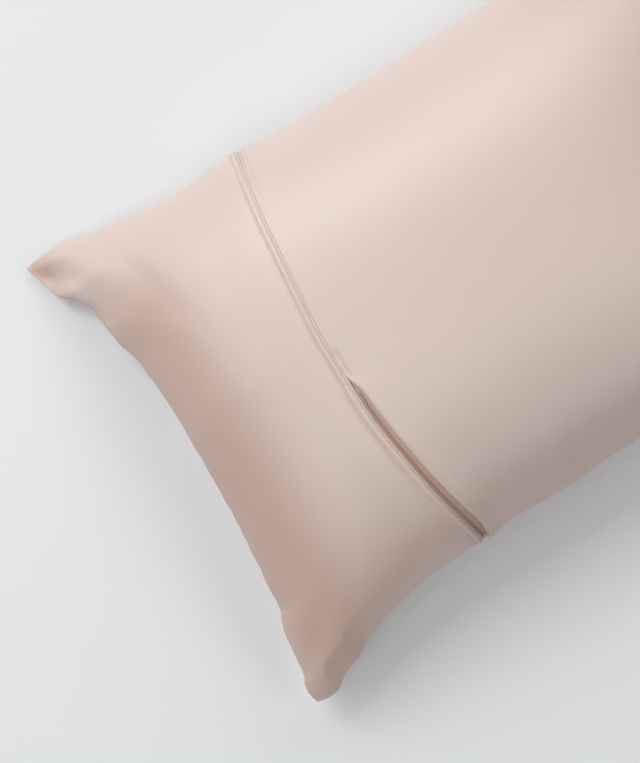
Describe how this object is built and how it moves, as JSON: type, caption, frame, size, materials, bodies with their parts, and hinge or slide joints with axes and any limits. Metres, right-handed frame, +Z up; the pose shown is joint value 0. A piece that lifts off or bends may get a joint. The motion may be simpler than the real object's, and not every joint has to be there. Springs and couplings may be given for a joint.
{
  "type": "pillowcase",
  "caption": "Filled satin pillowcase lying on its front panel, with a concealed zip across the back near one end and pointed ears at the corners.",
  "frame": {"origin": "middle of the plan, on the surface the case rests on", "axes": "+X along the case from the zip end to the closed end, +Y across it, +Z up out of the back"},
  "size_m": [0.733, 0.5016, 0.182],
  "materials": {
    "satin": "smooth satin, soft directional sheen",
    "zip_tape_cloth": "woven tape, dull"
  },
  "bodies": {
    "root": {"front_panel": "satin", "back_end_panel": "satin", "back_long_panel": "satin", "zip_tape": "zip_tape_cloth"}
  },
  "joints": []
}
